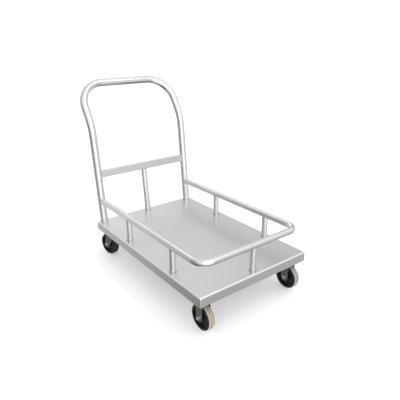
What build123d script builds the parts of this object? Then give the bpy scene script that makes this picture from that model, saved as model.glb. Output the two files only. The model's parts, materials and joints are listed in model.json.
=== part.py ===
from build123d import *
import os
from math import cos, pi, radians, sin, tan

# Platform luggage cart in stainless steel: a folded deck on two rigid and two
# swivel casters, a leaning push handle and a low guard rail.
# Millimetres. +X is the front, away from the handle; +Y is the left side.
# The origin is on the floor, under the middle of the whole cart.

# Deck
deck_length = 990.0
deck_width = 650.0
deck_sheet = 1.5
skirt_depth = 47.0
deck_edge_radius = 6.0
lip_width = 10.0
lip_end_gap = 20.0

# Channels under the deck
channel_depth = 40.5
channel_width = 96.0
channel_sheet = 2.0
channel_opening = 68.0
channel_bend_radius = 3.0
bend_gap = 0.5
stiffener_width = 50.0
stiffener_depth = 25.0
stiffener_sheet = 1.5
stiffener_spacing = 260.0
stiffener_end_gap = 1.0

# Push handle
handle_diameter = 42.0
tube_wall = 1.5
leg_inset = 28.0
leg_lean = 4.9
bend_height = 539.0
bend_lean = 33.2
bend_radius = 215.0
bar_height = 758.0
bar_corner_radius = 141.0
crossbar_height = 278.0
crossbar_depth = 40.0
crossbar_thickness = 25.0
crossbar_corner_radius = 3.0
strut_diameter = 32.0

# Guard rail
rail_diameter = 32.0
rail_height = 125.0
rail_inset = 34.0
rail_corner_radius = 58.0
post_diameter = 30.0
rear_post_x = -156.0
front_post_x = 247.0

# Bolts that hold the tubes down
frame_bolt = 8.0
plug_length = 25.0
bolt_engagement = 18.0
backing_length = 54.0
backing_width = 28.0
backing_thickness = 5.0

# Casters
wheel_diameter = 125.0
wheel_width = 34.0
tread_width = 26.0
tread_depth = 8.5
tread_edge_radius = 2.5
flange_drop = 2.5
flange_edge_radius = 2.0
rim_depth = 6.0
web_thickness = 10.0
hub_radius = 18.0
hub_width = 36.0
bush_outer_radius = 11.0
bush_flange_radius = 15.0
sleeve_outer_radius = 7.5
axle_diameter = 10.0
fork_gap = 40.0
fork_sheet = 3.0
fork_bend_radius = 6.0
fork_arm_width = 38.0
rigid_crown_length = 52.0
swivel_crown_front = 30.0
swivel_crown_rear = 36.0
crown_clearance = 8.0
raceway_height = 20.0
plate_thickness = 3.0
plate_length = 94.0
plate_width = 70.0
plate_corner_radius = 6.0
plate_bolt_length = 75.0
plate_bolt_width = 45.0
plate_bolt = 8.0
front_caster_inset = 54.0
rear_caster_inset = 84.0
caster_side_inset = 56.0
swivel_trail = 38.0
right_swivel_angle = 11.8
left_swivel_angle = 8.0

# Swivel bearing
kingpin_diameter = 12.0
kingpin_head_radius = 10.0
kingpin_head_height = 4.0
kingpin_nut_height = 7.8
kingpin_nut_flats = 18.0
race_inner_radius = 13.0
race_outer_radius = 29.0
lower_race_height = 9.0
upper_race_height = 5.0
ball_circle_radius = 22.0
ball_diameter = 6.6
ball_count = 16
dust_skirt_radius = 32.5
dust_skirt_height = 13.0
dust_skirt_wall = 1.5

# Fits and clearances
thread_clearance = 0.05
running_clearance = 0.05
seat_clearance = 0.05
turning_gap = 0.3
bolt_hole_clearance = 0.5
access_clearance = 4.0
ball_groove_clearance = 0.3

# Sizes of metric hexagon hardware, as shares of the thread diameter
flats_ratio = 1.63
head_ratio = 0.66
nut_ratio = 0.84
washer_ratio = 2.0
washer_thickness = 1.6
nut_chamfer_share = 0.95
nut_chamfer_angle = 30.0
thread_end = 2.0

# Places that follow from the sizes above
wheel_radius = wheel_diameter / 2
crown_underside = wheel_diameter + crown_clearance
crown_top = crown_underside + fork_sheet
plate_underside = crown_top + raceway_height
plate_top = plate_underside + plate_thickness
deck_underside = plate_top + channel_depth
deck_top = deck_underside + deck_sheet
skirt_bottom = deck_top - skirt_depth
inner_length = deck_length - 2 * deck_sheet
inner_width = deck_width - 2 * deck_sheet
inner_bend = deck_edge_radius - deck_sheet
flat_length = inner_length - 2 * (inner_bend + bend_gap)
flat_width = inner_width - 2 * (inner_bend + bend_gap)
front_caster_x = deck_length / 2 - front_caster_inset
rear_caster_x = -deck_length / 2 + rear_caster_inset
caster_y = deck_width / 2 - caster_side_inset
rail_y = deck_width / 2 - rail_inset
rail_front_x = deck_length / 2 - rail_inset
rail_z = deck_top + rail_height
leg_x = -deck_length / 2 + leg_inset
leg_radius = handle_diameter / 2
leg_slope = tan(radians(leg_lean))
bend_x = leg_x - bend_height * leg_slope
bar_x = bend_x - (bar_height - bend_height) * tan(radians(bend_lean))
bar_z = deck_top + bar_height
cart_front = max(deck_length / 2, front_caster_x + wheel_radius)
cart_rear = bar_x - leg_radius
cart_middle = (cart_front + cart_rear) / 2

TOP = (Align.CENTER, Align.CENTER, Align.MAX)
BOTTOM = (Align.CENTER, Align.CENTER, Align.MIN)

# The legs, crossbar and strut lie in one plane that leans back from the deck
leaning = Location((leg_x, 0, deck_top), (0, -leg_lean, 0))
posts = {
    "front_post": (rail_front_x, 0),
    "left_front_post": (front_post_x, rail_y),
    "left_rear_post": (rear_post_x, rail_y),
    "right_front_post": (front_post_x, -rail_y),
    "right_rear_post": (rear_post_x, -rail_y),
}
legs = [(leg_x, rail_y), (leg_x, -rail_y)]
strut_foot = (leg_x, 0)


def save(name, *pieces):
    """Write the pieces as one STEP, moved so that the cart's middle is the origin."""
    solids = [Pos(-cart_middle, 0, 0) * solid for piece in pieces for solid in piece.solids()]
    shape = solids[0] if len(solids) == 1 else Compound(solids)
    export_step(shape, f"parts/{name}.step")


def rod_along(path, radius):
    """A solid round bar that follows a path."""
    return sweep(Plane(origin=path @ 0, z_dir=path % 0) * Circle(radius), path=path)


def tube_along(path, diameter):
    """A round tube of the cart's wall thickness that follows a path."""
    return rod_along(path, diameter / 2) - rod_along(path, diameter / 2 - tube_wall)


def upright(x, y, radius, low, high):
    """A vertical cylinder between two heights."""
    return Pos(x, y, low) * Cylinder(radius, high - low, align=BOTTOM)


def hexagon_prism(flats, height):
    """A hexagon with its top corners turned off, standing on z = 0."""
    prism = extrude(RegularPolygon(flats / 2, 6, major_radius=False), height)
    top_radius = flats / 2 * nut_chamfer_share
    base_radius = top_radius + height / tan(radians(nut_chamfer_angle))
    return prism & Cone(base_radius, top_radius, height, align=BOTTOM)


def hexagon_bolt(thread, length):
    """A bolt that points up, with the seat of its head at z = 0."""
    head = Rot(180, 0, 0) * hexagon_prism(thread * flats_ratio, thread * head_ratio)
    return head + Cylinder(thread / 2, length, align=BOTTOM)


def hexagon_nut(thread):
    """A nut that stands on z = 0."""
    height = thread * nut_ratio
    bore = Cylinder(thread / 2 + thread_clearance, height, align=BOTTOM)
    return hexagon_prism(thread * flats_ratio, height) - bore


def washer(thread):
    """A flat washer that stands on z = 0."""
    ring = Cylinder(thread * washer_ratio / 2, washer_thickness, align=BOTTOM)
    return ring - Cylinder(thread / 2 + bolt_hole_clearance / 2, washer_thickness, align=BOTTOM)


# Deck, channels and the tubes above


def rounded_block(length, width, height, radius):
    """A block below z = 0 with its upright and its top edges rounded."""
    block = Box(length, width, height, align=TOP)
    block = fillet(block.edges().filter_by(Axis.Z), radius)
    return fillet(block.faces().sort_by(Axis.Z)[-1].edges(), radius)


def bolt_hole(x, y, thread, low, high):
    """A clearance hole for an upright bolt."""
    return upright(x, y, (thread + bolt_hole_clearance) / 2, low, high)


def deck_panel():
    """The folded sheet: top, four skirts, and a lip inward along each long side."""
    outside = rounded_block(deck_length, deck_width, skirt_depth, deck_edge_radius)
    inside = rounded_block(inner_length, inner_width, skirt_depth, inner_bend)
    panel = Pos(0, 0, deck_top) * (outside - Pos(0, 0, -deck_sheet) * inside)
    lip = Box(deck_length - 2 * lip_end_gap, lip_width + deck_sheet, deck_sheet, align=BOTTOM)
    lip_y = (deck_width - deck_sheet - lip_width) / 2
    for side in (-1, 1):
        panel += Pos(0, side * lip_y, skirt_bottom) * lip
    for x, y in [*posts.values(), *legs, strut_foot]:
        panel -= bolt_hole(x, y, frame_bolt, deck_underside - 1, deck_top + 1)
    return panel


def plate_bolt_places(x, side):
    """The four bolt places of the caster at this x and side."""
    return [
        (x + along * plate_bolt_length / 2, side * caster_y + across * plate_bolt_width / 2)
        for along in (-1, 1)
        for across in (-1, 1)
    ]


def cross_channel(x):
    """A C channel across the deck, its web down for the casters, lips in at the top."""
    outside = RectangleRounded(channel_width, channel_depth, channel_bend_radius)
    inside = RectangleRounded(
        channel_width - 2 * channel_sheet,
        channel_depth - 2 * channel_sheet,
        channel_bend_radius - channel_sheet,
    )
    slot_place = Pos(0, (channel_depth - channel_sheet) / 2)
    section = outside - inside - slot_place * Rectangle(channel_opening, 2 * channel_sheet)
    channel = extrude(Plane.XZ * section, flat_width / 2, both=True)
    channel = Pos(x, 0, plate_top + channel_depth / 2) * channel
    web_top = plate_top + channel_sheet
    for side in (-1, 1):
        for bolt_x, bolt_y in plate_bolt_places(x, side):
            channel -= bolt_hole(bolt_x, bolt_y, plate_bolt, plate_top - 1, web_top + 1)
    return channel


def front_channel():
    """The front channel, with a hole under the front post's bolt for a socket."""
    access_radius = frame_bolt * washer_ratio / 2 + access_clearance
    web_top = plate_top + channel_sheet
    hole = upright(rail_front_x, 0, access_radius, plate_top - 1, web_top + 1)
    return cross_channel(front_caster_x) - hole


def rear_channel():
    """The rear channel, with a hole over each kingpin's head."""
    channel = cross_channel(rear_caster_x)
    radius = kingpin_head_radius + access_clearance
    for side in (-1, 1):
        head = (rear_caster_x, side * caster_y)
        channel -= upright(*head, radius, plate_top - 1, plate_top + channel_sheet + 1)
    return channel


def stiffener(side):
    """A U channel along the deck, between the two cross channels."""
    back = rear_caster_x + channel_width / 2 + stiffener_end_gap
    front = front_caster_x - channel_width / 2 - stiffener_end_gap
    outside = Box(front - back, stiffener_width, stiffener_depth, align=TOP)
    inside = Box(front - back, stiffener_width - 2 * stiffener_sheet, stiffener_depth, align=TOP)
    section = outside - Pos(0, 0, stiffener_sheet) * inside
    return Pos((front + back) / 2, side * stiffener_spacing / 2, deck_underside) * section


def handle_path(side_reach, low):
    """The handle's centre line, from below one foot over the bar to the other foot."""
    foot_x = leg_x + low * leg_slope
    corners = [
        (foot_x, -side_reach, deck_top - low),
        (bend_x, -side_reach, deck_top + bend_height),
        (bar_x, -side_reach, bar_z),
        (bar_x, side_reach, bar_z),
        (bend_x, side_reach, deck_top + bend_height),
        (foot_x, side_reach, deck_top - low),
    ]
    radii = [bend_radius, bar_corner_radius, bar_corner_radius, bend_radius]
    return FilletPolyline(*corners, radius=radii)


def below_deck():
    """Everything under the deck's top, to cut the feet of the tubes level."""
    return Pos(0, 0, deck_top) * Box(2 * deck_length, 2 * deck_width, deck_top, align=TOP)


def push_handle():
    """The bent handle tube, cut level where it stands on the deck."""
    return tube_along(handle_path(rail_y, handle_diameter), handle_diameter) - below_deck()


def leg_rods():
    """Solid bars that fill the legs, to shape the ends of what meets them."""
    return [
        leaning * Pos(0, side * rail_y, 0) * Cylinder(leg_radius, 2 * bend_height)
        for side in (-1, 1)
    ]


def crossbar():
    """A rectangular tube between the legs, its ends shaped to them."""
    outside = RectangleRounded(crossbar_thickness, crossbar_depth, crossbar_corner_radius)
    inside = RectangleRounded(
        crossbar_thickness - 2 * tube_wall,
        crossbar_depth - 2 * tube_wall,
        crossbar_corner_radius - tube_wall,
    )
    bar = extrude(Plane.XZ * (outside - inside), rail_y, both=True)
    bar = leaning * Pos(0, 0, crossbar_height / cos(radians(leg_lean))) * bar
    for rod in leg_rods():
        bar -= rod
    return bar


def strut():
    """The short tube from the deck to the middle of the crossbar."""
    length = crossbar_height / cos(radians(leg_lean)) - crossbar_depth / 2
    run = length + strut_diameter
    outside = Cylinder(strut_diameter / 2, run, align=TOP)
    inside = Cylinder(strut_diameter / 2 - tube_wall, run, align=TOP)
    return leaning * Pos(0, 0, length) * (outside - inside) - below_deck()


def rail_path():
    """The rail's centre line, from one leg round the front to the other."""
    start_x = leg_x - rail_height * leg_slope
    corners = [
        (start_x, -rail_y, rail_z),
        (rail_front_x, -rail_y, rail_z),
        (rail_front_x, rail_y, rail_z),
        (start_x, rail_y, rail_z),
    ]
    return FilletPolyline(*corners, radius=rail_corner_radius)


def guard_rail():
    """The bent rail tube, its ends shaped to the legs."""
    rail = tube_along(rail_path(), rail_diameter)
    for rod in leg_rods():
        rail -= rod
    return rail


def rail_post(x, y):
    """An upright tube from the deck to the rail, its top shaped to the rail."""
    radius = post_diameter / 2
    post = upright(x, y, radius, deck_top, rail_z)
    post -= upright(x, y, radius - tube_wall, deck_top, rail_z)
    along_x = Rot(0, 90, 0) if y else Rot(90, 0, 0)
    return post - Pos(x, y, rail_z) * along_x * Cylinder(rail_diameter / 2, 2 * rail_diameter)


# Fasteners under the tubes


def threaded_hole(x, y):
    """The tapped hole in a plug."""
    radius = frame_bolt / 2 + thread_clearance
    return upright(x, y, radius, deck_top, deck_top + bolt_engagement + thread_end)


def post_plugs():
    """The tapped plugs in the feet of the posts."""
    radius = post_diameter / 2 - tube_wall - seat_clearance
    return [
        upright(x, y, radius, deck_top, deck_top + plug_length) - threaded_hole(x, y)
        for x, y in posts.values()
    ]


def leaning_plug(x, y, diameter):
    """A tapped plug in the foot of a tube that leans back."""
    radius = diameter / 2 - tube_wall - seat_clearance
    plug = leaning * Pos(0, y, 0) * Cylinder(radius, 2 * plug_length)
    slab = Pos(0, 0, deck_top) * Box(2 * deck_length, 2 * deck_width, plug_length, align=BOTTOM)
    return (plug & slab) - threaded_hole(x, y)


def backing_plate(x, y):
    """The plate that spreads a leg's load under the deck."""
    plate_x = (backing_width - flat_length) / 2
    plate = Pos(plate_x, y, deck_underside) * Box(
        backing_width, backing_length, backing_thickness, align=TOP
    )
    hole = bolt_hole(x, y, frame_bolt, deck_underside - backing_thickness - 1, deck_underside)
    return plate - hole


def frame_fastening(x, y, seat):
    """A washer under the seat height, and the bolt that goes up through it."""
    head_z = seat - washer_thickness
    length = deck_top + bolt_engagement - head_z
    return Pos(x, y, head_z) * washer(frame_bolt), Pos(x, y, head_z) * hexagon_bolt(
        frame_bolt, length
    )


# Casters, each in a frame of its own: the floor under the middle of its plate


def caster_plate(pin_hole_radius):
    """The plate that bolts up to a cross channel."""
    plate = extrude(RectangleRounded(plate_length, plate_width, plate_corner_radius), plate_thickness)
    for x, y in plate_bolt_places(0, 0):
        plate -= bolt_hole(x, y, plate_bolt, -1, plate_thickness + 1)
    if pin_hole_radius:
        plate -= upright(0, 0, pin_hole_radius, -1, plate_thickness + 1)
    return Pos(0, 0, plate_underside) * plate


def fork(trail, top, crown_rear, crown_front):
    """A pressed fork: a crown with an arm down each side to the axle."""
    arm_radius = fork_arm_width / 2
    low = wheel_radius - arm_radius
    outer_width = fork_gap + 2 * fork_sheet
    outside = Pos(0, top) * Rectangle(outer_width, top - low, align=(Align.CENTER, Align.MAX))
    outside = fillet(outside.vertices().group_by(Axis.Y)[-1], fork_bend_radius)
    inside = Pos(0, top - fork_sheet) * Rectangle(
        fork_gap, top - low, align=(Align.CENTER, Align.MAX)
    )
    inside = fillet(inside.vertices().group_by(Axis.Y)[-1], fork_bend_radius - fork_sheet)
    shell = extrude(Plane.YZ * (outside - inside), 2 * deck_sheet + trail + plate_length, both=True)
    eye = Pos(-trail, wheel_radius) * Circle(arm_radius)
    crown = Line((-crown_rear, top), (crown_front, top))
    side = make_hull([*eye.edges(), crown.edge()])
    body = shell & extrude(Plane.XZ * side, outer_width, both=True)
    return body - axle_bore(trail, axle_diameter / 2 + bolt_hole_clearance / 2)


def across(trail, height=wheel_radius):
    """The place of the axle's middle, with +Z turned to point along +Y."""
    return Pos(-trail, 0, height) * Rot(-90, 0, 0)


def axle_bore(trail, radius):
    """A bar along the axle, wide enough to pass both arms."""
    return across(trail) * Cylinder(radius, 2 * fork_gap)


def axle_sleeve(trail):
    """The steel tube that the arms clamp and the wheel turns on."""
    ring = Cylinder(sleeve_outer_radius, fork_gap)
    return across(trail) * (ring - Cylinder(axle_diameter / 2 + running_clearance, fork_gap))


def axle_bolt_and_nut(trail, side):
    """The axle's bolt, head inward, and its nut on the outer side."""
    seat = fork_gap / 2 + fork_sheet
    length = 2 * seat + axle_diameter * nut_ratio + thread_end
    turn = Rot(0, 0, 0) if side > 0 else Rot(180, 0, 0)
    bolt = Pos(0, 0, -seat) * hexagon_bolt(axle_diameter, length)
    nut = Pos(0, 0, seat) * hexagon_nut(axle_diameter)
    return across(trail) * turn * bolt, across(trail) * turn * nut


def turned(points):
    """A ring turned from a half section, its points given as (radius, along the axle)."""
    return revolve(Plane.XZ * make_face(Polyline(*points, close=True)), Axis.Z)


def wheel_tread():
    """The cushion band bonded round the core."""
    band = Cylinder(wheel_radius, tread_width)
    rims = band.edges().filter_by(GeomType.CIRCLE)
    band = fillet(rims, tread_edge_radius)
    return band - Cylinder(wheel_radius - tread_depth, tread_width)


def wheel_core():
    """Hub, web and rim in one moulding, with a flange on each side of the band."""
    seat = wheel_radius - tread_depth
    flange = wheel_radius - flange_drop
    rim = Cylinder(flange, wheel_width)
    rim = fillet(rim.edges().filter_by(GeomType.CIRCLE), flange_edge_radius)
    groove = Cylinder(flange + 1, tread_width) - Cylinder(seat, tread_width)
    recess = (wheel_width - web_thickness) / 2
    dish_radius = seat - rim_depth
    dish = Cylinder(dish_radius, recess, align=BOTTOM)
    dish = fillet(dish.edges().sort_by(Axis.Z)[0], flange_edge_radius)
    core = rim - groove
    for turn in (Rot(0, 0, 0), Rot(180, 0, 0)):
        core -= turn * Pos(0, 0, web_thickness / 2) * dish
    core += Cylinder(hub_radius, hub_width)
    return core - Cylinder(bush_outer_radius + seat_clearance, hub_width)


def hub_bush():
    """The flanged plain bearing through the hub, in two halves pressed in as one."""
    inner = sleeve_outer_radius + running_clearance
    hub_face = hub_width / 2
    flange_face = fork_gap / 2 - turning_gap
    section = [
        (inner, -flange_face),
        (bush_flange_radius, -flange_face),
        (bush_flange_radius, -hub_face),
        (bush_outer_radius, -hub_face),
        (bush_outer_radius, hub_face),
        (bush_flange_radius, hub_face),
        (bush_flange_radius, flange_face),
        (inner, flange_face),
    ]
    return turned(section)


def ball_groove():
    """The ring-shaped space in which the swivel's balls run."""
    radius = ball_diameter / 2 + ball_groove_clearance
    return Pos(0, 0, ball_height()) * Torus(ball_circle_radius, radius)


def ball_height():
    """Height of the balls' centres, half way between the two races."""
    return (crown_top + lower_race_height + plate_underside - upper_race_height) / 2


def lower_race():
    """The hardened ring pressed on the crown, under the balls."""
    high = crown_top + lower_race_height
    ring = upright(0, 0, race_outer_radius, crown_top, high)
    return ring - upright(0, 0, race_inner_radius, crown_top, high) - ball_groove()


def upper_race():
    """The ring over the balls, with a skirt that keeps dirt out."""
    low = plate_underside - upper_race_height
    skirt_low = plate_underside - dust_skirt_height
    inner_skirt = dust_skirt_radius - dust_skirt_wall
    ring = upright(0, 0, dust_skirt_radius, skirt_low, plate_underside)
    ring -= upright(0, 0, inner_skirt, skirt_low, low)
    return ring - upright(0, 0, race_inner_radius, low, plate_underside) - ball_groove()


def swivel_balls():
    """The ring of loose balls."""
    ball = Sphere(ball_diameter / 2)
    return [
        Pos(ball_circle_radius * cos(turn), ball_circle_radius * sin(turn), ball_height()) * ball
        for turn in (2 * pi * index / ball_count for index in range(ball_count))
    ]


def kingpin():
    """The pin that the fork swings round, its head over the plate."""
    low = crown_underside - turning_gap - kingpin_nut_height
    shank = upright(0, 0, kingpin_diameter / 2, low, plate_top)
    head = upright(0, 0, kingpin_head_radius, plate_top, plate_top + kingpin_head_height)
    top_edge = head.edges().sort_by(Axis.Z)[-1]
    return shank + fillet(top_edge, kingpin_head_height / 2)


def kingpin_nut():
    """The nut under the crown that keeps the fork on its kingpin."""
    low = crown_underside - turning_gap - kingpin_nut_height
    bore = Cylinder(kingpin_diameter / 2 + thread_clearance, kingpin_nut_height, align=BOTTOM)
    top_down = Pos(0, 0, kingpin_nut_height) * Rot(180, 0, 0)
    return Pos(0, 0, low) * (top_down * hexagon_prism(kingpin_nut_flats, kingpin_nut_height) - bore)


def wheel(name, trail, place):
    """One wheel: core, band and bearing."""
    save(f"{name}_wheel_core", place * across(trail) * wheel_core())
    save(f"{name}_tread", place * across(trail) * wheel_tread())
    save(f"{name}_hub_bush", place * across(trail) * hub_bush())


def front_casters():
    """The two rigid casters."""
    sleeves = []
    bolts = []
    nuts = []
    for name, side in (("front_left", 1), ("front_right", -1)):
        place = Pos(front_caster_x, side * caster_y, 0)
        half_crown = rigid_crown_length / 2
        save(f"{name}_caster_plate", place * caster_plate(0))
        save(f"{name}_fork", place * fork(0, plate_underside, half_crown, half_crown))
        bolt, nut = axle_bolt_and_nut(0, side)
        sleeves.append(place * axle_sleeve(0))
        bolts.append(place * bolt)
        nuts.append(place * nut)
        wheel(name, 0, place)
    save("front_axle_sleeves", *sleeves)
    save("front_axle_bolts", *bolts)
    save("front_axle_nuts", *nuts)


def rear_casters():
    """The two swivel casters."""
    pin_hole = kingpin_diameter / 2 + running_clearance
    nuts = []
    angles = {"rear_left": (1, left_swivel_angle), "rear_right": (-1, right_swivel_angle)}
    for name, (side, angle) in angles.items():
        place = Pos(rear_caster_x, side * caster_y, 0)
        swung = place * Rot(0, 0, angle)
        save(f"{name}_caster_plate", place * caster_plate(pin_hole))
        save(f"{name}_upper_race", place * upper_race())
        save(f"{name}_kingpin", place * kingpin())
        nuts.append(place * kingpin_nut())
        body = fork(swivel_trail, crown_top, swivel_crown_rear, swivel_crown_front)
        pin_bore = upright(0, 0, pin_hole, crown_underside - 1, crown_top + 1)
        save(f"{name}_fork", swung * (body - pin_bore))
        save(f"{name}_lower_race", swung * lower_race())
        save(f"{name}_balls", *[swung * ball for ball in swivel_balls()])
        save(f"{name}_axle_sleeve", swung * axle_sleeve(swivel_trail))
        bolt, nut = axle_bolt_and_nut(swivel_trail, side)
        save(f"{name}_axle_bolt", swung * bolt)
        save(f"{name}_axle_nut", swung * nut)
        wheel(name, swivel_trail, swung)
    save("kingpin_nuts", *nuts)


def caster_fasteners():
    """The bolts, washers and nuts that hold the four plates to the channels."""
    web_top = plate_top + channel_sheet
    length = web_top - plate_underside + plate_bolt * nut_ratio + thread_end
    places = [
        place
        for x in (front_caster_x, rear_caster_x)
        for side in (-1, 1)
        for place in plate_bolt_places(x, side)
    ]
    low = plate_underside - washer_thickness
    save("caster_washers", *[Pos(x, y, low) * washer(plate_bolt) for x, y in places])
    bolt = hexagon_bolt(plate_bolt, length + washer_thickness)
    save("caster_bolts", *[Pos(x, y, low) * bolt for x, y in places])
    save("caster_nuts", *[Pos(x, y, web_top) * hexagon_nut(plate_bolt) for x, y in places])


def frame_fasteners():
    """The plugs, plates, washers and bolts that hold the tubes to the deck."""
    save("post_plugs", *post_plugs())
    handle_plugs = [leaning_plug(x, y, handle_diameter) for x, y in legs]
    save("handle_plugs", *handle_plugs, leaning_plug(*strut_foot, strut_diameter))
    save("leg_backing_plates", *[backing_plate(x, y) for x, y in legs])
    plate_seat = deck_underside - backing_thickness
    seats = [(x, y, plate_seat) for x, y in legs]
    seats += [(x, y, deck_underside) for x, y in [*posts.values(), strut_foot]]
    pairs = [frame_fastening(*seat) for seat in seats]
    save("frame_washers", *[ring for ring, bolt in pairs])
    save("frame_bolts", *[bolt for ring, bolt in pairs])


os.makedirs("parts", exist_ok=True)
save("deck_panel", deck_panel())
save("front_cross_channel", front_channel())
save("rear_cross_channel", rear_channel())
save("left_stiffener", stiffener(1))
save("right_stiffener", stiffener(-1))
save("push_handle", push_handle())
save("handle_crossbar", crossbar())
save("handle_strut", strut())
save("guard_rail", guard_rail())
for post_name, (post_x, post_y) in posts.items():
    save(post_name, rail_post(post_x, post_y))
frame_fasteners()
front_casters()
rear_casters()
caster_fasteners()
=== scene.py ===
"""Looks for a platform luggage cart in stainless steel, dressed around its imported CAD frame."""

import json
import logging
import math
from dataclasses import dataclass
from enum import Enum
from typing import Callable, ClassVar, Iterable, Union

import bmesh
import bpy
from mathutils import Matrix, Vector

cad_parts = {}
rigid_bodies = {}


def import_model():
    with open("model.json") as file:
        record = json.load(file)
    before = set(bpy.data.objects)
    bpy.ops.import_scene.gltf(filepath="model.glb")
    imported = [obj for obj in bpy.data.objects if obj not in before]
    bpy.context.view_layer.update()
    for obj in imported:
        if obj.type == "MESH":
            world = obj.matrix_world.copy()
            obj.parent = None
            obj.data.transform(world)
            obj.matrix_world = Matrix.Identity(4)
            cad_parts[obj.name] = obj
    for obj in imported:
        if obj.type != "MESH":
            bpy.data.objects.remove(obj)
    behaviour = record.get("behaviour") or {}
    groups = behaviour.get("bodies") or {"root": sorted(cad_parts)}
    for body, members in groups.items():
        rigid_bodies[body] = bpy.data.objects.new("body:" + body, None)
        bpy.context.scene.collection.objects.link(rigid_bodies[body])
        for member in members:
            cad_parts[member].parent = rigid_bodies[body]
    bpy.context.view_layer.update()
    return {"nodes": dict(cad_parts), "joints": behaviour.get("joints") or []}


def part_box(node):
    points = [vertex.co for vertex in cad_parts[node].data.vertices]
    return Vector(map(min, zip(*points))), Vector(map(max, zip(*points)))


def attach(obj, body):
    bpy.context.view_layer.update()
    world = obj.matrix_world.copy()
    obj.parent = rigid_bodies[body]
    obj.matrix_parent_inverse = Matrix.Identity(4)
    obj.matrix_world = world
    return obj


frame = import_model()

LOG = logging.getLogger("luggage_cart")
MM = 0.001

Triple = tuple[float, float, float]
Colour = Triple
Value = Union["Wire", float]


class Side(Enum):
    """The cart's two sides, with the sign of y that each has."""

    LEFT = 1
    RIGHT = -1


class Grain(Enum):
    """The way a finish was brushed, as the stretch of its noise along x, y and z."""

    ALONG_X = (2.0, 900.0, 900.0)
    ALONG_Y = (900.0, 2.0, 900.0)
    EVEN = (350.0, 350.0, 350.0)


class Corner(Enum):
    """The four casters, by the start of their nodes' names."""

    FRONT_LEFT = "front_left"
    FRONT_RIGHT = "front_right"
    REAR_LEFT = "rear_left"
    REAR_RIGHT = "rear_right"


# Shader building


class Wire:
    """One number or colour on its way through a node tree, with the operators of arithmetic."""

    def __init__(self, bench: "Bench", socket: bpy.types.NodeSocket) -> None:
        """Wraps a node's output.

        Args:
            bench: the node tree that the output belongs to.
            socket: the output itself.
        """
        self.bench = bench
        self.socket = socket

    def _maths(self, operation: str, left: Value, right: Value) -> "Wire":
        """Adds a Math node for one operation on two values."""
        return self.bench.add("ShaderNodeMath", {"operation": operation}, {0: left, 1: right})

    def __add__(self, other: Value) -> "Wire":
        """Sum."""
        return self._maths("ADD", self, other)

    def __radd__(self, other: Value) -> "Wire":
        """Sum, with this value on the right."""
        return self._maths("ADD", other, self)

    def __sub__(self, other: Value) -> "Wire":
        """Difference."""
        return self._maths("SUBTRACT", self, other)

    def __rsub__(self, other: Value) -> "Wire":
        """Difference, with this value on the right."""
        return self._maths("SUBTRACT", other, self)

    def __mul__(self, other: Value) -> "Wire":
        """Product."""
        return self._maths("MULTIPLY", self, other)

    def __rmul__(self, other: Value) -> "Wire":
        """Product, with this value on the right."""
        return self._maths("MULTIPLY", other, self)

    def __truediv__(self, other: Value) -> "Wire":
        """Quotient."""
        return self._maths("DIVIDE", self, other)

    def least(self, other: Value) -> "Wire":
        """The smaller of this and another value."""
        return self._maths("MINIMUM", self, other)

    def most(self, other: Value) -> "Wire":
        """The larger of this and another value."""
        return self._maths("MAXIMUM", self, other)

    def size(self) -> "Wire":
        """The value without its sign."""
        return self._maths("ABSOLUTE", self, 0.0)

    def rise(self, low: float, high: float) -> "Wire":
        """Runs smoothly from 0 at one value to 1 at another.

        Args:
            low: where the result is 0.
            high: where the result is 1; it may lie below low.

        Returns:
            The result, never outside 0 to 1.
        """
        settings = {"interpolation_type": "SMOOTHSTEP", "clamp": True}
        sockets = {"Value": self, "From Min": low, "From Max": high}
        if high < low:
            sockets = {"Value": self, "From Min": high, "From Max": low, "To Min": 1.0, "To Max": 0.0}
        return self.bench.add("ShaderNodeMapRange", settings, sockets)


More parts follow.
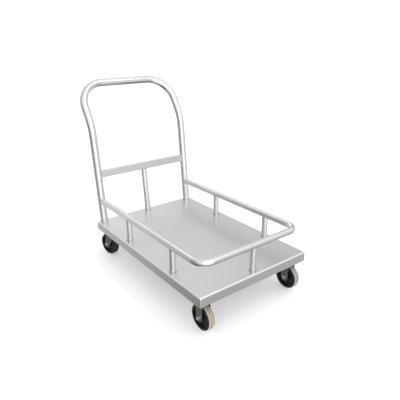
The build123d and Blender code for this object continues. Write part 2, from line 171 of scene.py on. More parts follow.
class Bench:
    """A node tree under construction."""

    def __init__(self, tree: bpy.types.NodeTree) -> None:
        """Starts from an empty tree.

        Args:
            tree: the tree to build in; what it held is removed.
        """
        tree.nodes.clear()
        self.tree = tree

    def add(self, kind: str, settings: dict, sockets: dict, output: int | str = 0) -> Wire:
        """Adds one node.

        Args:
            kind: the node's type.
            settings: its own settings, set before its sockets; "stops" fills a colour ramp.
            sockets: values or wires for its inputs, by name or place.
            output: which output to return.

        Returns:
            The chosen output.
        """
        node = self.tree.nodes.new(kind)
        for name, value in settings.items():
            if name == "stops":
                self._fill_ramp(node, value)
            else:
                setattr(node, name, value)
        for name, value in sockets.items():
            if isinstance(value, Wire):
                self.tree.links.new(value.socket, node.inputs[name])
            else:
                node.inputs[name].default_value = value
        return Wire(self, node.outputs[output])

    def end(self, kind: str, shader: Wire) -> None:
        """Joins a shader to the tree's output.

        Args:
            kind: the output node's type.
            shader: what it shows.
        """
        node = self.tree.nodes.new(kind)
        self.tree.links.new(shader.socket, node.inputs["Surface"])

    @staticmethod
    def _fill_ramp(node: bpy.types.Node, stops: list[tuple[float, Colour]]) -> None:
        """Gives a colour ramp its stops.

        Args:
            node: the colour ramp.
            stops: the place and the colour of each, from the lowest up.
        """
        ramp = node.color_ramp
        while len(ramp.elements) > 1:
            ramp.elements.remove(ramp.elements[-1])
        for index, (place, colour) in enumerate(stops):
            element = ramp.elements[0] if index == 0 else ramp.elements.new(place)
            element.position = place
            element.color = (*colour, 1.0)

    def place(self) -> Wire:
        """The surface point in the object's own frame, which is the cart's."""
        return self.add("ShaderNodeTexCoord", {}, {}, "Object")

    def parts(self, vector: Wire) -> tuple[Wire, Wire, Wire]:
        """Splits a vector.

        Args:
            vector: the vector to split.

        Returns:
            Its x, y and z.
        """
        x = self.add("ShaderNodeSeparateXYZ", {}, {0: vector})
        outputs = x.socket.node.outputs
        return x, Wire(self, outputs[1]), Wire(self, outputs[2])

    def noise(self, scale: float | Triple, detail: float = 3.0, rough: float = 0.5) -> Wire:
        """Noise in the cart's frame.

        Args:
            scale: cycles per metre, one number or one for each axis.
            detail: how many finer layers it has.
            rough: how strong the finer layers are.

        Returns:
            The noise, around 0.5.
        """
        stretch = (scale, scale, scale) if isinstance(scale, (int, float)) else scale
        vector = self.add("ShaderNodeMapping", {}, {"Vector": self.place(), "Scale": stretch})
        sockets = {"Vector": vector, "Scale": 1.0, "Detail": detail, "Roughness": rough}
        return self.add("ShaderNodeTexNoise", {}, sockets)

    def blend(self, factor: Value, first: "Wire | Colour", second: "Wire | Colour") -> Wire:
        """Mixes two colours.

        Args:
            factor: 0 for the first and 1 for the second.
            first: a colour or a wire.
            second: a colour or a wire.

        Returns:
            The mixed colour.
        """
        ends = [c if isinstance(c, Wire) else (*c, 1.0) for c in (first, second)]
        sockets = {0: factor, 6: ends[0], 7: ends[1]}
        return self.add("ShaderNodeMix", {"data_type": "RGBA"}, sockets, 2)

    def distance(self, point: Iterable[float]) -> Wire:
        """Measures how far the surface point is from a fixed point.

        Args:
            point: the fixed point, in the cart's frame.

        Returns:
            The distance, in metres.
        """
        settings = {"operation": "DISTANCE"}
        sockets = {0: self.place(), 1: tuple(point)}
        return self.add("ShaderNodeVectorMath", settings, sockets, "Value")

    def edges(self, width: float) -> Wire:
        """Finds the sharp edges of a surface.

        Args:
            width: how far from an edge it still counts, in metres.

        Returns:
            0 on flat ground, rising to 1 at an edge.
        """
        soft = self.add("ShaderNodeBevel", {"samples": 6}, {"Radius": width})
        flat = self.add("ShaderNodeNewGeometry", {}, {}, "Normal")
        settings = {"operation": "DOT_PRODUCT"}
        return self.add("ShaderNodeVectorMath", settings, {0: soft, 1: flat}, "Value").rise(0.995, 0.86)

    def bump(self, height: Value, depth: float) -> Wire:
        """Turns a height into a normal.

        Args:
            height: the height, about 0 to 1.
            depth: what a height of 1 is, in metres.

        Returns:
            The normal.
        """
        sockets = {"Height": height, "Distance": depth, "Strength": 1.0}
        return self.add("ShaderNodeBump", {}, sockets)


@dataclass(frozen=True)
class Finish:
    """What every finish has: a name, the record's slot, a colour and a roughness."""

    name: str
    slot: str
    colour: Colour
    roughness: float

    made: ClassVar[dict[str, bpy.types.Material]] = {}

    def material(self) -> bpy.types.Material:
        """Makes the finish's material the first time that it is asked for.

        Returns:
            The material.
        """
        if self.name not in self.made:
            material = bpy.data.materials.new(self.name)
            material.use_nodes = True
            bench = Bench(material.node_tree)
            shader = bench.add("ShaderNodeBsdfPrincipled", {}, self.sockets(bench))
            bench.end("ShaderNodeOutputMaterial", shader)
            self.made[self.name] = material
        return self.made[self.name]

    def sockets(self, bench: Bench) -> dict:
        """The shader's inputs, plain here and richer in each kind of finish."""
        return {"Base Color": (*self.colour, 1.0), "Roughness": self.roughness}


@dataclass(frozen=True)
class Steel(Finish):
    """Stainless steel, brushed one way, with handling marks and heat tint by its welds."""

    grain: Grain = Grain.EVEN
    grain_depth: float = 4e-6
    grain_shade: float = 0.05
    warm: Colour = (0.70, 0.66, 0.58)
    warm_share: float = 0.25
    welds: tuple[Triple, ...] = ()
    tint_reach: float = 0.010
    tint_start: float = 0.0
    tint_share: float = 0.45
    cloud_scale: float = 5.0
    smudge_scale: float = 23.0

    def sockets(self, bench: Bench) -> dict:
        """Grain, cloudy tone, smudges and heat tint, for a bare metal surface.

        Args:
            bench: the node tree to build in.

        Returns:
            The shader's inputs.
        """
        grain = bench.noise(self.grain.value, 4.0, 0.6)
        cloud = bench.noise(self.cloud_scale, 3.0, 0.55)
        smudge = bench.noise(self.smudge_scale, 4.0, 0.6).rise(0.52, 0.72)
        dark = tuple(c * (1.0 - 2.0 * self.grain_shade) for c in self.colour)
        tone = bench.blend(grain.rise(0.3, 0.7), dark, self.colour)
        tone = bench.blend(cloud.rise(0.38, 0.7) * self.warm_share, tone, self.warm)
        rough = self.roughness + (grain - 0.5) * 0.10 + smudge * 0.05 + (cloud - 0.5) * 0.06
        if self.welds:
            tone = self._heat_tint(bench, tone)
        return {
            "Base Color": tone,
            "Metallic": 1.0,
            "Roughness": rough,
            "Normal": bench.bump(grain, self.grain_depth),
        }

    def _heat_tint(self, bench: Bench, tone: Wire) -> Wire:
        """Colours the metal round its welds, blue nearest and straw further out.

        Args:
            bench: the node tree to build in.
            tone: the metal's colour without it.

        Returns:
            The metal's colour with it.
        """
        near = bench.distance(self.welds[0])
        for weld in self.welds[1:]:
            near = near.least(bench.distance(weld))
        wobble = (bench.noise(140.0, 2.0) - 0.5) * 0.4 * self.tint_reach
        heat = (near + wobble - self.tint_start) / self.tint_reach
        stops = [
            (0.0, (0.30, 0.27, 0.30)),
            (0.35, (0.33, 0.32, 0.50)),
            (0.6, (0.62, 0.45, 0.42)),
            (0.85, (0.72, 0.62, 0.42)),
            (1.0, self.colour),
        ]
        ramp = bench.add("ShaderNodeValToRGB", {"stops": stops}, {0: heat})
        return bench.blend(heat.rise(1.0, 0.6) * self.tint_share, tone, ramp)


@dataclass(frozen=True)
class FoldedSheet(Steel):
    """Brushed sheet with a painted highlight along the folded edges of its top."""

    low: Triple = (-0.5, -0.3, 0.1)
    high: Triple = (0.5, 0.3, 0.2)
    fold: float = 7 * MM
    painted_fold_highlight: Colour = (0.93, 0.93, 0.92)

    def sockets(self, bench: Bench) -> dict:
        """The brushed sheet, with a painted highlight line that follows the top's folds.

        Args:
            bench: the node tree to build in.

        Returns:
            The shader's inputs.
        """
        made = super().sockets(bench)
        x, y, z = bench.parts(bench.place())
        half = [(top - bottom) / 2 for bottom, top in zip(self.low, self.high)]
        centre = [(top + bottom) / 2 for bottom, top in zip(self.low, self.high)]
        out = (x - centre[0]).size() - half[0] + self.fold
        out = out.most((y - centre[1]).size() - half[1] + self.fold)
        near_top = z.rise(self.high[2] - 1.25 * self.fold, self.high[2] - 0.75 * self.fold)
        patchy = 0.75 + 0.5 * bench.noise(60.0, 3.0)
        # painted highlight: the top's folds are made near white, patchy with noise, for the light that
        # they catch
        line = (out.rise(0.0, 0.3 * self.fold) * near_top * patchy).least(1.0)
        made["Base Color"] = bench.blend(line, made["Base Color"], self.painted_fold_highlight)
        return made


@dataclass(frozen=True)
class ZincPlate(Finish):
    """Dull zinc plate on pressed steel: spangle, a faint rainbow, bright worn edges."""

    hint: Colour = (0.42, 0.50, 0.40)
    edge: Colour = (0.72, 0.73, 0.72)
    edge_width: float = 1.2 * MM
    spangle_scale: float = 260.0
    grime: Colour = (0.12, 0.11, 0.10)
    skin_depth: float = 1.2e-5

    def sockets(self, bench: Bench) -> dict:
        """Spangle tones and roughness, with the plate worn bright at its edges.

        Args:
            bench: the node tree to build in.

        Returns:
            The shader's inputs.
        """
        sockets = {"Vector": bench.place(), "Scale": self.spangle_scale}
        spangle = bench.add("ShaderNodeTexVoronoi", {"feature": "F1"}, sockets)
        cloud = bench.noise(30.0, 4.0, 0.6)
        grime = bench.noise(75.0, 5.0, 0.65).rise(0.55, 0.75)
        deeper = tuple(c * 0.8 for c in self.colour)
        tone = bench.blend(spangle.rise(0.0, 0.8) * 0.5, self.colour, deeper)
        tone = bench.blend(cloud.rise(0.42, 0.7) * 0.6, tone, self.hint)
        tone = bench.blend(grime * 0.35, tone, self.grime)
        worn = bench.edges(self.edge_width) * bench.noise(160.0, 3.0).rise(0.35, 0.6)
        return {
            "Base Color": bench.blend(worn, tone, self.edge),
            "Metallic": 0.9,
            "Roughness": self.roughness + (cloud - 0.5) * 0.25 + grime * 0.12 - worn * 0.15,
            "Normal": bench.bump(bench.noise(420.0, 3.0, 0.6), self.skin_depth),
        }


@dataclass(frozen=True)
class Moulding(Finish):
    """Moulded plastic or rubber, with a fine skin, scuffs and dust."""

    skin_scale: float = 900.0
    skin_depth: float = 2.0e-5
    dust: Colour = (0.20, 0.18, 0.15)
    dust_share: float = 0.3
    second: Colour = (0.02, 0.02, 0.02)
    second_share: float = 0.3
    edge_width: float = 1.5 * MM

    def sockets(self, bench: Bench) -> dict:
        """Two close tones, scuffed edges and settled dust over a fine skin.

        Args:
            bench: the node tree to build in.

        Returns:
            The shader's inputs.
        """
        patch = bench.noise(38.0, 4.0, 0.6)
        skin = bench.noise(self.skin_scale, 3.0, 0.6)
        tone = bench.blend(patch.rise(0.4, 0.65) * self.second_share, self.colour, self.second)
        dust = bench.noise(120.0, 5.0, 0.7).rise(0.5, 0.8) * self.dust_share
        worn = bench.edges(self.edge_width) * bench.noise(90.0, 3.0).rise(0.4, 0.65)
        tone = bench.blend((dust + worn * 0.4 * self.dust_share).least(1.0), tone, self.dust)
        return {
            "Base Color": tone,
            "Roughness": self.roughness + (patch - 0.5) * 0.2 + dust * 0.3,
            "Normal": bench.bump(skin + worn, self.skin_depth),
        }


@dataclass(frozen=True)
class BandedTread(Moulding):
    """A light tread, tan where it runs and greyer on its shoulders."""

    middle: float = 0.0
    half: float = 7.5 * MM
    shoulder: Colour = (0.50, 0.50, 0.49)
    wander: float = 4 * MM
    blur: float = 2.5 * MM

    def sockets(self, bench: Bench) -> dict:
        """The moulding, with grey shoulders either side of a worn middle.

        Args:
            bench: the node tree to build in.

        Returns:
            The shader's inputs.
        """
        made = super().sockets(bench)
        _, y, _ = bench.parts(bench.place())
        off = (y - self.middle).size() + (bench.noise(70.0, 3.0) - 0.5) * self.wander
        grey = off.rise(self.half, self.half + self.blur) * 0.8
        made["Base Color"] = bench.blend(grey, made["Base Color"], self.shoulder)
        return made


# Mesh building


def ring(count: int) -> list[float]:
    """Evenly spaced angles round a circle, in radians."""
    return [2.0 * math.pi * step / count for step in range(count)]


def mesh_object(name: str, bm: bmesh.types.BMesh, finish: Finish, body: str) -> bpy.types.Object:
    """Turns a bmesh into a dressed piece that rides on a body.

    Args:
        name: the piece's name.
        bm: its shape, in the cart's frame; it is freed.
        finish: what it is dressed in.
        body: the body that it rides on.

    Returns:
        The piece.
    """
    bmesh.ops.recalc_face_normals(bm, faces=bm.faces)
    mesh = bpy.data.meshes.new(name)
    bm.to_mesh(mesh)
    bm.free()
    mesh.shade_smooth()
    piece = bpy.data.objects.new(name, mesh)
    bpy.context.scene.collection.objects.link(piece)
    mesh.materials.append(finish.material())
    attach(piece, body)
    LOG.info("made %s, %d faces, on %s", name, len(mesh.polygons), body)
    return piece


def add_hoop(
    bm: bmesh.types.BMesh, centre: Vector, out: Vector, up: Vector, size: float, sides: int
) -> list[bmesh.types.BMVert]:
    """Adds the points of a circle.

    Args:
        bm: the shape to add to.
        centre: its centre.
        out: a direction in its plane, of length 1.
        up: the direction in its plane square to that one.
        size: its radius.
        sides: how many points it has.

    Returns:
        The points, in order.
    """
    return [
        bm.verts.new(centre + size * (out * math.cos(a) + up * math.sin(a))) for a in ring(sides)
    ]


def add_band(
    bm: bmesh.types.BMesh, first: list[bmesh.types.BMVert], second: list[bmesh.types.BMVert]
) -> None:
    """Adds the faces between two closed rows of as many points.

    Args:
        bm: the shape to add to.
        first: one row.
        second: the next row.
    """
    count = len(first)
    for k in range(count):
        after = (k + 1) % count
        bm.faces.new((first[k], first[after], second[after], second[k]))


def add_loop_tube(
    bm: bmesh.types.BMesh, line: list[Vector], radius: Callable[[int], float], sides: int = 10
) -> None:
    """Adds a closed tube that follows a closed line.

    Args:
        bm: the shape to add to.
        line: points round the line.
        radius: the tube's radius at each point's place in the line.
        sides: how many faces go round the tube.
    """
    count = len(line)
    middle = sum(line, Vector()) / count
    rings = []
    for index, point in enumerate(line):
        along = (line[(index + 1) % count] - line[index - 1]).normalized()
        out = point - middle
        out = (out - out.project(along)).normalized()
        up = along.cross(out)
        rings.append(add_hoop(bm, point, out, up, radius(index), sides))
    for index in range(count):
        add_band(bm, rings[index], rings[(index + 1) % count])


def add_rod(
    bm: bmesh.types.BMesh, line: list[Vector], radius: Callable[[int], float], sides: int = 8
) -> None:
    """Adds a straight rod with closed ends.

    Args:
        bm: the shape to add to.
        line: points along it.
        radius: its radius at each point's place in the line.
        sides: how many faces go round it.
    """
    along = (line[-1] - line[0]).normalized()
    out = along.orthogonal().normalized()
    up = along.cross(out)
    rings = [
        add_hoop(bm, point, out, up, radius(index), sides) for index, point in enumerate(line)
    ]
    for first, second in zip(rings, rings[1:]):
        add_band(bm, first, second)
    bm.faces.new(rings[0])
    bm.faces.new(rings[-1])


def add_lathe(
    bm: bmesh.types.BMesh, section: list[tuple[float, float]], steps: int, place: Matrix
) -> None:
    """Adds a closed turned ring.

    Args:
        bm: the shape to add to.
        section: points round its half section, as (radius, height).
        steps: how many faces go round it.
        place: turns its own frame, axis up, into the cart's.
    """
    rings = [
        [bm.verts.new(place @ Vector((r * math.cos(a), r * math.sin(a), h))) for r, h in section]
        for a in ring(steps)
    ]
    for index in range(steps):
        add_band(bm, rings[index], rings[(index + 1) % steps])


def dress(finish: Finish, nodes: Iterable[str]) -> None:
    """Gives CAD nodes a finish.

    Args:
        finish: what they are dressed in.
        nodes: the nodes' names.
    """
    for name in nodes:
        piece = frame["nodes"][name]
        piece.data.materials.clear()
        piece.data.materials.append(finish.material())
        LOG.info("dressed %s in %s", name, finish.name)


def middle(node: str) -> Vector:
    """The middle of a CAD node's box."""
    low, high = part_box(node)
    return (low + high) / 2


def size_of(node: str) -> Vector:
    """The size of a CAD node's box."""
    low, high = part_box(node)
    return high - low


# Sub-assemblies

CHASSIS = "chassis"
POSTS = ("front_post", "left_front_post", "left_rear_post", "right_front_post", "right_rear_post")


@dataclass
class WeldBead:
    """A fine rippled bead of weld."""

    radius: float = 1.25 * MM
    ripple: float = 0.18
    pitch: float = 1.4 * MM
    points: int = 132
    straight_share: float = 0.6
    steps_per_ripple: int = 4
    tip_size: float = 0.35
    tip_growth: float = 0.25

    def add(self, bm: bmesh.types.BMesh, line: Callable[[float], Vector]) -> None:
        """Lays a bead round a closed line.

        Args:
            bm: the shape to add to.
            line: the point at each angle, in radians.
        """
        path = [line(a) for a in ring(self.points)]
        length = sum((path[i] - path[i - 1]).length for i in range(self.points))
        ripples = max(3, round(length / self.pitch))

        def radius(index: int) -> float:
            """The bead's radius at one place in its path."""
            wave = abs(math.sin(math.pi * ripples * index / self.points))
            return self.radius * (1.0 - self.ripple * wave)

        add_loop_tube(bm, path, radius)

    def add_straight(self, bm: bmesh.types.BMesh, start: Vector, end: Vector) -> None:
        """Lays a straight bead, finer than a round one.

        Args:
            bm: the shape to add to.
            start: where it starts.
            end: where it ends.
        """
        steps = self.steps_per_ripple
        count = max(2 * steps, round((end - start).length / self.pitch) * steps)
        line = [start.lerp(end, i / count) for i in range(count + 1)]

        def radius(index: int) -> float:
            """The bead's radius at one place in its line, drawn in at its ends.

            Args:
                index: the place in the line.

            Returns:
                The radius, in metres.
            """
            tip = min(1.0, self.tip_size + self.tip_growth * min(index, count - index))
            wave = abs(math.sin(math.pi * index / steps))
            return self.straight_share * self.radius * tip * (1.0 - self.ripple * wave)

        add_rod(bm, line, radius)


@dataclass
class Lean:
    """The plane that the handle's legs, crossbar and strut lie in."""

    angle: float = math.radians(4.9)
    foot_slice: float = 0.1 * MM

    def foot(self) -> Vector:
        """Finds where the plane meets the deck, from the foot of the strut.

        Returns:
            The middle of the strut's foot.
        """
        low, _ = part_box("handle_strut")
        points = [v.co for v in frame["nodes"]["handle_strut"].data.vertices]
        ends = [point.x for point in points if point.z < low.z + self.foot_slice]
        return Vector(((min(ends) + max(ends)) / 2, 0.0, low.z))

    def point(self, x: float, y: float, z: float) -> Vector:
        """Places a point that is given on the plane.

        Args:
            x: how far it stands out from the plane, to the front.
            y: how far it is to the left.
            z: how far up the plane it is from the foot.

        Returns:
            The point in the cart's frame.
        """
        return self.foot() + Vector(
            (
                x * math.cos(self.angle) - z * math.sin(self.angle),
                y,
                x * math.sin(self.angle) + z * math.cos(self.angle),
            )
        )


@dataclass
class Deck:
    """The folded deck with its channels, stiffeners and fasteners."""

    sheet: Steel
    folded: Steel
    bright: ZincPlate
    weld: Steel
    bead: WeldBead
    corner_radius: float = 6 * MM
    seam_gap: float = 5 * MM
    seam_foot: float = 1 * MM

    def build(self) -> None:
        """Dresses the deck and what is bolted under it, and closes the skirts' corners."""
        dress(self.sheet, ["deck_panel"])
        channels = ["front_cross_channel", "rear_cross_channel", "left_stiffener", "right_stiffener"]
        dress(self.folded, [*channels, "leg_backing_plates"])
        fasteners = ["frame_bolts", "frame_washers", "caster_bolts", "caster_washers", "caster_nuts"]
        dress(self.bright, fasteners)
        low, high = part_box("deck_panel")
        bm = bmesh.new()
        inset = self.corner_radius * (1.0 - math.sqrt(0.5))
        for x in (low.x + inset, high.x - inset):
            for y in (low.y + inset, high.y - inset):
                foot = Vector((x, y, low.z + self.seam_foot))
                top = Vector((x, y, high.z - self.corner_radius - self.seam_gap))
                self.bead.add_straight(bm, foot, top)
        mesh_object("corner_seams", bm, self.weld, CHASSIS)


@dataclass
class TubeWork:
    """The push handle and the guard rail, with the welds that join them."""

    tube: Steel
    bar: Steel
    bright: ZincPlate
    weld: Steel
    bead: WeldBead
    lean: Lean
    wall_and_gap: float = 1.55 * MM
    foot_height: float = 0.3 * MM
    squareness: float = 0.3

    def build(self) -> None:
        """Dresses the tubes and lays their welds."""
        dress(self.tube, ["push_handle", "guard_rail", "handle_strut", *POSTS])
        dress(self.bar, ["handle_crossbar"])
        dress(self.bright, ["post_plugs", "handle_plugs"])
        self._foot_welds()
        self._rail_welds()
        self._crossbar_welds()

    def _foot_welds(self) -> None:
        """Beads round the feet of the posts, the legs and the strut, on the deck."""
        bm = bmesh.new()
        deck_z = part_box("deck_panel")[1].z
        feet = [(middle(name), size_of(name).x / 2) for name in POSTS]
        leg_radius = self.leg_radius()
        foot = self.lean.foot()
        for side in Side:
            feet.append((Vector((foot.x, side.value * self.leg_y(), deck_z)), leg_radius))
        feet.append((foot, size_of("handle_strut").y / 2))
        for centre, radius in feet:

            def line(a: float, c: Vector = centre, r: float = radius) -> Vector:
                """The foot's outline, level with the deck."""
                z = deck_z + self.foot_height
                return Vector((c.x + r * math.cos(a), c.y + r * math.sin(a), z))

            self.bead.add(bm, line)
        mesh_object("foot_welds", bm, self.weld, CHASSIS)

    def _rail_welds(self) -> None:
        """Beads where the posts meet the rail and where the rail meets the legs."""
        bm = bmesh.new()
        rail_z = middle("guard_rail").z
        rail_radius = size_of("guard_rail").z / 2
        for name in POSTS:
            centre, radius = middle(name), size_of(name).x / 2
            crosswise = name == "front_post"

            def line(a: float, c: Vector = centre, r: float = radius, turn: bool = crosswise) -> Vector:
                """Follows the saddle of a post on the rail.

                Args:
                    a: the angle round the post.
                    c: the post's centre.
                    r: the post's radius.
                    turn: whether the rail runs across the cart there.

                Returns:
                    The point at that angle.
                """
                x, y = r * math.cos(a), r * math.sin(a)
                off = x if turn else y
                z = rail_z - math.sqrt(rail_radius**2 - off**2)
                return Vector((c.x + x, c.y + y, z))

            self.bead.add(bm, line)
        foot = self.lean.foot()
        leg_radius = self.leg_radius()
        for side in Side:

            def end(a: float, s: float = side.value) -> Vector:
                """Follows the saddle of the rail on a leg.

                Args:
                    a: the angle round the rail.
                    s: the leg's side, 1 or -1.

                Returns:
                    The point at that angle.
                """
                y, z = rail_radius * math.cos(a), rail_radius * math.sin(a)
                height = rail_z + z - foot.z
                x = foot.x - height * math.tan(self.lean.angle)
                x += math.sqrt(leg_radius**2 - y**2) / math.cos(self.lean.angle)
                return Vector((x, s * self.leg_y() + y, rail_z + z))

            self.bead.add(bm, end)
        mesh_object("rail_welds", bm, self.weld, CHASSIS)

    def _crossbar_welds(self) -> None:
        """Beads round the crossbar's ends and the top of the strut."""
        bm = bmesh.new()
        low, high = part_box("handle_crossbar")
        foot = self.lean.foot()
        up = (middle("handle_crossbar").z - foot.z) / math.cos(self.lean.angle)
        cos, sin = math.cos(self.lean.angle), math.sin(self.lean.angle)
        span_x, span_z = high.x - low.x, high.z - low.z
        thick = (span_x * cos - span_z * sin) / (cos**2 - sin**2)
        deep = (span_z - thick * sin) / cos
        leg_radius = self.leg_radius()
        for side in Side:

            def end(a: float, s: float = side.value) -> Vector:
                """Follows a crossbar end on a leg, as a rounded oblong.

                Args:
                    a: the angle round the crossbar.
                    s: the leg's side, 1 or -1.

                Returns:
                    The point at that angle.
                """
                power = self.squareness
                x = thick / 2 * math.copysign(abs(math.cos(a)) ** power, math.cos(a))
                z = deep / 2 * math.copysign(abs(math.sin(a)) ** power, math.sin(a))
                y = self.leg_y() - math.sqrt(leg_radius**2 - x**2)
                return self.lean.point(x, s * y, up + z)

            self.bead.add(bm, end)
        strut_radius = size_of("handle_strut").y / 2

        def top(a: float) -> Vector:
            """The strut's outline under the crossbar."""
            x, y = strut_radius * math.cos(a), strut_radius * math.sin(a)
            return self.lean.point(x, y, up - deep / 2)

        self.bead.add(bm, top)
        mesh_object("crossbar_welds", bm, self.weld, CHASSIS)

    def leg_radius(self) -> float:
        """The handle tube's radius: that of the plug in its foot, and the wall and gap round it."""
        return size_of("handle_plugs").y / 2 - self.leg_y() + self.wall_and_gap

    def leg_y(self) -> float:
        """How far the legs' middles are from the cart's middle line, as the side posts' are."""
        return middle("left_rear_post").y


@dataclass
class Wheel:
    """One wheel: core, running band and plain bush."""

    corner: Corner
    core: Moulding
    tread: Moulding
    bush: Moulding

    def build(self) -> None:
        """Dresses the wheel's three nodes."""
        name = self.corner.value
        dress(self.core, [f"{name}_wheel_core"])
        dress(self.tread, [f"{name}_tread"])
        dress(self.bush, [f"{name}_hub_bush"])


@dataclass
class Caster:
    """One caster without its wheel."""

    corner: Corner
    plate: ZincPlate
    bright: ZincPlate
    ground: Steel
    nylon: Moulding
    thread_radius: float = 5.1 * MM
    collar_radius: float = 6.7 * MM
    collar_height: float = 1.6 * MM
    collar_seat: float = -0.4 * MM
    collar_bevel: float = 0.4 * MM
    collar_steps: int = 40
    nut_reach: float = 0.05

    def build(self) -> None:
        """Dresses the caster's nodes and adds the axle nut's locking collar."""
        self._collar()
        name = self.corner.value
        dress(self.plate, [f"{name}_fork", f"{name}_caster_plate"])
        if name.startswith("rear"):
            dress(self.bright, [f"{name}_axle_bolt", f"{name}_axle_nut", f"{name}_kingpin"])
            races = [f"{name}_upper_race", f"{name}_lower_race", f"{name}_balls"]
            dress(self.ground, [*races, f"{name}_axle_sleeve"])

    def _collar(self) -> None:
        """The nylon ring that stands proud of the axle nut's outer face."""
        name = self.corner.value
        roll = next(j for j in frame["joints"] if j["name"] == f"{name}_roll")
        centre, axis = Vector(roll["pos_m"]), Vector(roll["axis"]).normalized()
        front = name.startswith("front")
        nut = frame["nodes"]["front_axle_nuts" if front else f"{name}_axle_nut"]
        arms = [v.co - centre for v in nut.data.vertices]
        along = [arm.dot(axis) for arm in arms if arm.length < self.nut_reach]
        outer = max(along, key=abs)
        out = axis if outer > 0 else -axis
        face = centre + out * abs(outer)
        turn = out.to_track_quat("Z", "Y").to_matrix().to_4x4()
        inner, wide, tall = self.thread_radius, self.collar_radius, self.collar_height
        low, bevel = self.collar_seat, self.collar_bevel
        section = [
            (inner, low),
            (wide, low),
            (wide, tall - bevel),
            (wide - bevel, tall),
            (inner + bevel, tall),
            (inner, tall - bevel),
        ]
        bm = bmesh.new()
        add_lathe(bm, section, self.collar_steps, Matrix.Translation(face) @ turn)
        mesh_object(f"{name}_nut_collar", bm, self.nylon, roll["parent"])


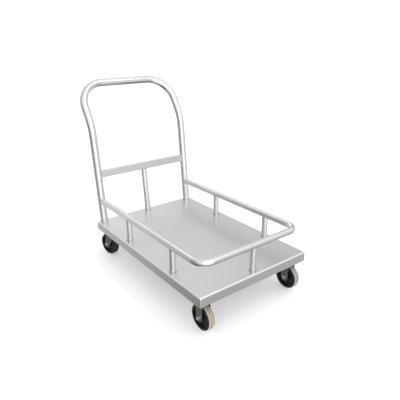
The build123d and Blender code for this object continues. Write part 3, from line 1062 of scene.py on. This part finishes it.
@dataclass
class Studio:
    """The floor, the soft light and the camera."""

    azimuth: float = 52.97
    elevation: float = 21.03
    roll: float = -0.55
    distance: float = 2.3632
    target: Triple = (-0.0510, 0.1574, 0.3238)
    lens: float = 37.12
    floor_size: float = 60.0
    floor_tone: float = 0.92
    floor_roughness: float = 0.9
    floor_gloss: float = 0.1
    floor_glow: float = 0.3
    lamp_place: Triple = (1.2, 0.4, 2.9)
    lamp_size: float = 2.0
    lamp_power: float = 8.0
    least_sky: float = 0.05
    backdrop: float = 1.02
    bands: tuple[tuple[float, float], ...] = (
        (-0.80, 0.26),
        (-0.52, 0.62),
        (-0.36, 0.80),
        (0.0, 0.82),
        (0.36, 0.92),
        (0.60, 1.08),
        (0.85, 0.95),
        (1.0, 0.75),
    )
    lobes: tuple[tuple[Triple, float, float, float], ...] = (
        ((0.927, -0.114, -0.358), 42.0, 8.0, 0.33),
        ((0.910, -0.200, 0.358), 44.0, 10.0, 0.75),
        ((0.620, 0.780, -0.200), 45.0, 8.0, -0.09),
        ((-0.235, -0.875, -0.423), 52.0, 18.0, -0.34),
        ((-0.300, -0.880, 0.300), 44.0, 14.0, -0.36),
        ((-0.620, -0.450, 0.640), 34.0, 10.0, -0.26),
        ((-0.500, 0.780, 0.380), 42.0, 4.0, -0.36),
        ((-0.800, 0.360, 0.480), 34.0, 4.0, 0.24),
    )

    def build(self) -> None:
        """Makes the whole studio."""
        self._floor()
        self._sky()
        self._lamp()
        self._camera()
        bpy.context.scene.view_settings.view_transform = "Standard"

    def _floor(self) -> None:
        """A plain pale floor."""
        bm = bmesh.new()
        bmesh.ops.create_grid(bm, x_segments=8, y_segments=8, size=self.floor_size / 2)
        mesh = bpy.data.meshes.new("floor")
        bm.to_mesh(mesh)
        bm.free()
        floor = bpy.data.objects.new("floor", mesh)
        bpy.context.scene.collection.objects.link(floor)
        material = bpy.data.materials.new("pale_floor")
        material.use_nodes = True
        bench = Bench(material.node_tree)
        sockets = {
            "Base Color": (self.floor_tone, self.floor_tone, self.floor_tone, 1.0),
            "Roughness": self.floor_roughness,
            "Emission Color": (1.0, 1.0, 1.0, 1.0),
            "Emission Strength": self.floor_glow,
            "Specular IOR Level": self.floor_gloss,
        }
        shader = bench.add("ShaderNodeBsdfPrincipled", {}, sockets)
        bench.end("ShaderNodeOutputMaterial", shader)
        mesh.materials.append(material)
        floor.visible_glossy = False

    def _sky(self) -> None:
        """An even white surround with softer, darker quarters for the metal to mirror."""
        world = bpy.data.worlds.new("studio")
        bpy.context.scene.world = world
        world.use_nodes = True
        bench = Bench(world.node_tree)
        way = bench.add("ShaderNodeTexCoord", {}, {}, "Generated")

        def lobe(direction: Triple, edge: float, core: float) -> Wire:
            """Measures how near the view is to a direction.

            Args:
                direction: the middle of the lobe.
                edge: how far from it the lobe ends, in degrees.
                core: how far from it the lobe is full, in degrees.

            Returns:
                0 outside the edge, rising to 1 inside the core.
            """
            aim = Vector(direction).normalized()
            settings = {"operation": "DOT_PRODUCT"}
            near = bench.add("ShaderNodeVectorMath", settings, {0: way, 1: tuple(aim)}, "Value")
            return near.rise(math.cos(math.radians(edge)), math.cos(math.radians(core)))

        _, _, up = bench.parts(way)
        bands = [(z / 2 + 0.5, (v / 2,) * 3) for z, v in self.bands]
        level = bench.add("ShaderNodeValToRGB", {"stops": bands}, {0: (up + 1.0) / 2.0}) * 2.0
        for direction, edge, core, change in self.lobes:
            level = level + change * lobe(direction, edge, core)
        level = level.most(self.least_sky)
        seen = bench.add("ShaderNodeLightPath", {}, {}, "Is Camera Ray")
        level = level + seen * (self.backdrop - level)
        shade = bench.add("ShaderNodeCombineColor", {}, {0: level, 1: level, 2: level})
        bench.end("ShaderNodeOutputWorld", bench.add("ShaderNodeBackground", {}, {"Color": shade}))

    def _lamp(self) -> None:
        """One broad soft lamp, high over the front."""
        light = bpy.data.lights.new("key", "AREA")
        light.size = self.lamp_size
        light.energy = self.lamp_power
        lamp = bpy.data.objects.new("key", light)
        bpy.context.scene.collection.objects.link(lamp)
        lamp.location = self.lamp_place
        lamp.rotation_euler = (-Vector(self.lamp_place)).to_track_quat("-Z", "Y").to_euler()

    def _camera(self) -> None:
        """The camera, aimed from the front right."""
        azimuth, elevation = math.radians(self.azimuth), math.radians(self.elevation)
        back = Vector(
            (
                math.sin(azimuth) * math.cos(elevation),
                -math.cos(azimuth) * math.cos(elevation),
                math.sin(elevation),
            )
        )
        data = bpy.data.cameras.new("camera")
        data.lens = self.lens
        camera = bpy.data.objects.new("camera", data)
        bpy.context.scene.collection.objects.link(camera)
        camera.location = Vector(self.target) + self.distance * back
        turn = (-back).to_track_quat("-Z", "Y").to_matrix()
        turn = turn @ Matrix.Rotation(math.radians(self.roll), 3, "Z")
        camera.rotation_euler = turn.to_euler()
        bpy.context.scene.camera = camera


def main() -> None:
    """Builds the cart's looks in order."""
    logging.basicConfig(level=logging.INFO, format="%(name)s: %(message)s")
    Studio().build()
    lean = Lean()
    deck_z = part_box("deck_panel")[1].z
    foot = lean.foot()
    leg_y = middle("left_rear_post").y
    feet = [(middle(name).x, middle(name).y, deck_z) for name in POSTS]
    feet += [(foot.x, leg_y, deck_z), (foot.x, -leg_y, deck_z), (foot.x, 0.0, deck_z)]
    low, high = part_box("deck_panel")
    sheet = FoldedSheet(
        "brushed_deck_sheet",
        "sheet_steel",
        (0.70, 0.70, 0.70),
        0.34,
        Grain.ALONG_X,
        low=tuple(low),
        high=tuple(high),
        grain_shade=0.03,
        warm=(0.70, 0.67, 0.60),
        warm_share=0.3,
        welds=tuple(feet),
        tint_start=0.016,
        tint_reach=0.009,
    )
    bar = Steel(
        "brushed_crossbar", "sheet_steel", (0.72, 0.72, 0.72), 0.34, Grain.ALONG_Y, warm_share=0.1
    )
    tube = Steel(
        "polished_tube", "tube_steel", (0.80, 0.80, 0.80), 0.2,
        grain_depth=1e-6, grain_shade=0.015, warm_share=0.08,
    )
    weld = Steel(
        "weld_bead", "tube_steel", (0.58, 0.57, 0.56), 0.3, warm_share=0.4, warm=(0.5, 0.42, 0.30)
    )
    folded = Steel("folded_channel", "channel_steel", (0.48, 0.49, 0.50), 0.45, Grain.ALONG_Y)
    ground = Steel("ground_bearing_steel", "bearing_steel", (0.50, 0.50, 0.50), 0.25)
    zinc = ZincPlate(
        "zinc_plate", "zinc_steel", (0.21, 0.25, 0.225), 0.40, hint=(0.24, 0.31, 0.22)
    )
    bright = ZincPlate(
        "bright_fastener", "fastener_steel", (0.82, 0.82, 0.80), 0.22, hint=(0.76, 0.72, 0.60)
    )
    core = Moulding(
        "black_wheel_core", "wheel_plastic", (0.007, 0.007, 0.008), 0.46, dust_share=0.08
    )
    tan_tread = BandedTread(
        "tan_tread", "tread_rubber", (0.43, 0.365, 0.26), 0.62,
        second=(0.36, 0.29, 0.18), second_share=0.6,
        dust=(0.22, 0.18, 0.12), dust_share=0.4,
        middle=middle("front_right_tread").y,
    )
    # painted shade: a darker, greyer copy of the tan tread for the front-left wheel, standing in for
    # the lesser light that it gets
    painted_shade_grey_tread = BandedTread(
        "painted_shade_grey_tread", "tread_rubber", (0.36, 0.34, 0.30), 0.60,
        second=(0.29, 0.26, 0.20), second_share=0.6,
        dust=(0.20, 0.17, 0.13), dust_share=0.4,
        middle=middle("front_left_tread").y, shoulder=(0.42, 0.42, 0.42),
    )
    # painted shade: the rear wheels' treads are made near black for the shade under the deck, though
    # the wheels match the front ones
    painted_shade_black_tread = Moulding(
        "painted_shade_black_tread", "tread_rubber", (0.010, 0.010, 0.011), 0.6,
        second=(0.022, 0.022, 0.021), second_share=0.5, dust_share=0.2,
    )
    # the front-right wheel keeps the tan tread; the front-left and the rear wheels take the
    # painted-shade copies
    treads = {Corner.FRONT_RIGHT: tan_tread, Corner.FRONT_LEFT: painted_shade_grey_tread}
    bush = Moulding(
        "nylon_bush", "bush_plastic", (0.55, 0.53, 0.48), 0.45, second=(0.5, 0.47, 0.4)
    )
    Deck(sheet, folded, bright, weld, WeldBead()).build()
    TubeWork(tube, bar, bright, weld, WeldBead(), lean).build()
    for corner in Corner:
        Caster(corner, zinc, bright, ground, bush).build()
        Wheel(corner, core, treads.get(corner, painted_shade_black_tread), bush).build()
    dress(bright, ["front_axle_bolts", "front_axle_nuts", "kingpin_nuts"])
    dress(ground, ["front_axle_sleeves"])


if __name__ == "__main__":
    main()
